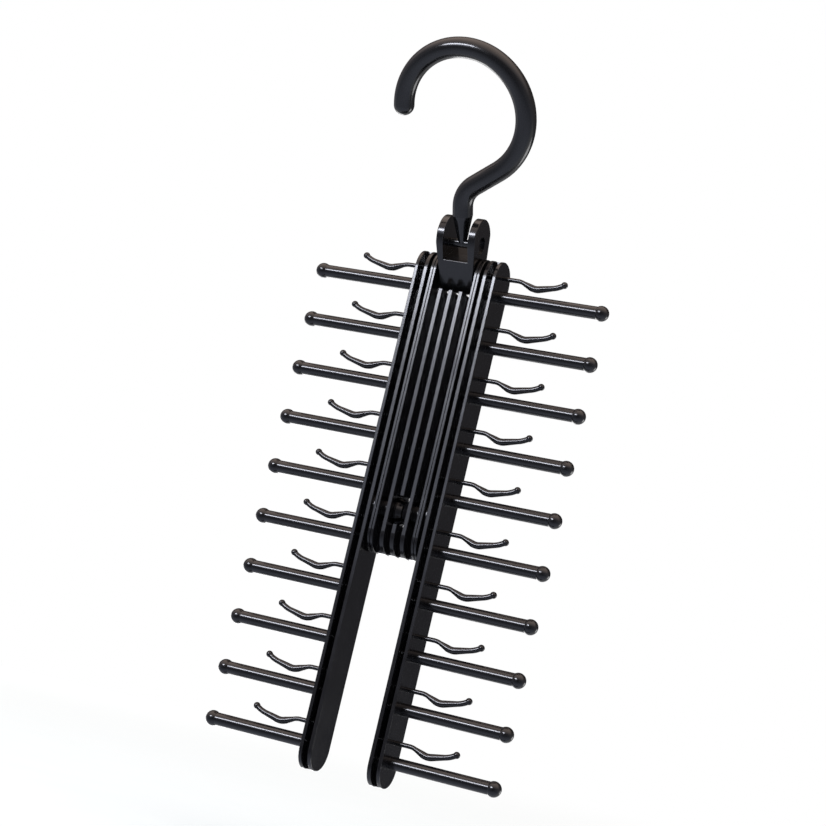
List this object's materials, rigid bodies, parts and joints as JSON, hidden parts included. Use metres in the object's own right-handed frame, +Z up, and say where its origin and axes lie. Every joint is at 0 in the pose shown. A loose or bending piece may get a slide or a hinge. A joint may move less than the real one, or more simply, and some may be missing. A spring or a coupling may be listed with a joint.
{
  "type": "folding tie hanger",
  "caption": "Black folding tie hanger: tilting rail hook, ribbed stem and two arms that swing into a cross, with ball-ended pegs and wavy spring fingers for ties.",
  "frame": {"origin": "the point inside the hook's loop where a wardrobe rail bears", "axes": "+Z up along the stem, +X to the right along the pegs, front is -Y; the hook leans forward"},
  "size_m": [0.1428, 0.0754, 0.3208],
  "materials": {
    "gloss_black": "gloss injection-moulded black plastic",
    "satin_black": "satin injection-moulded black plastic",
    "pin_steel": "drawn steel pin"
  },
  "bodies": {
    "hook": {"hook": "satin_black"},
    "hook_holder": {"hook_holder": "satin_black"},
    "stem": {"stem": "gloss_black", "holder_pin": "pin_steel"},
    "left_arm": {"left_arm": "gloss_black", "left_peg_01": "gloss_black", "left_peg_02": "gloss_black", "left_peg_03": "gloss_black", "left_peg_04": "gloss_black", "left_peg_05": "gloss_black", "left_peg_06": "gloss_black", "left_peg_07": "gloss_black", "left_peg_08": "gloss_black", "left_peg_09": "gloss_black", "left_peg_10": "gloss_black", "left_finger_01": "gloss_black", "left_finger_02": "gloss_black", "left_finger_03": "gloss_black", "left_finger_04": "gloss_black", "left_finger_05": "gloss_black", "left_finger_06": "gloss_black", "left_finger_07": "gloss_black", "left_finger_08": "gloss_black", "left_finger_09": "gloss_black", "left_finger_10": "gloss_black"},
    "right_arm": {"right_arm": "gloss_black", "right_peg_01": "gloss_black", "right_peg_02": "gloss_black", "right_peg_03": "gloss_black", "right_peg_04": "gloss_black", "right_peg_05": "gloss_black", "right_peg_06": "gloss_black", "right_peg_07": "gloss_black", "right_peg_08": "gloss_black", "right_peg_09": "gloss_black", "right_peg_10": "gloss_black", "right_finger_01": "gloss_black", "right_finger_02": "gloss_black", "right_finger_03": "gloss_black", "right_finger_04": "gloss_black", "right_finger_05": "gloss_black", "right_finger_06": "gloss_black", "right_finger_07": "gloss_black", "right_finger_08": "gloss_black", "right_finger_09": "gloss_black", "right_finger_10": "gloss_black"}
  },
  "joints": [
    {"name": "hook_turn", "type": "hinge", "parent": "hook", "child": "hook_holder", "pos_m": [0, 0.04858, -0.06938], "axis": [1, 0, 0], "range_deg": [-50, 50]},
    {"name": "holder_tilt", "type": "hinge", "parent": "hook_holder", "child": "stem", "pos_m": [0, 0.05793, -0.08273], "axis": [1, 0, 0], "range_deg": [-5, 75]},
    {"name": "left_arm_swing", "type": "hinge", "parent": "stem", "child": "left_arm", "pos_m": [0, 0.05793, -0.19293], "axis": [1, 0, 0], "range_deg": [0, 35]},
    {"name": "right_arm_swing", "type": "hinge", "parent": "stem", "child": "right_arm", "pos_m": [0, 0.05793, -0.19293], "axis": [1, 0, 0], "range_deg": [-35, 0]}
  ]
}
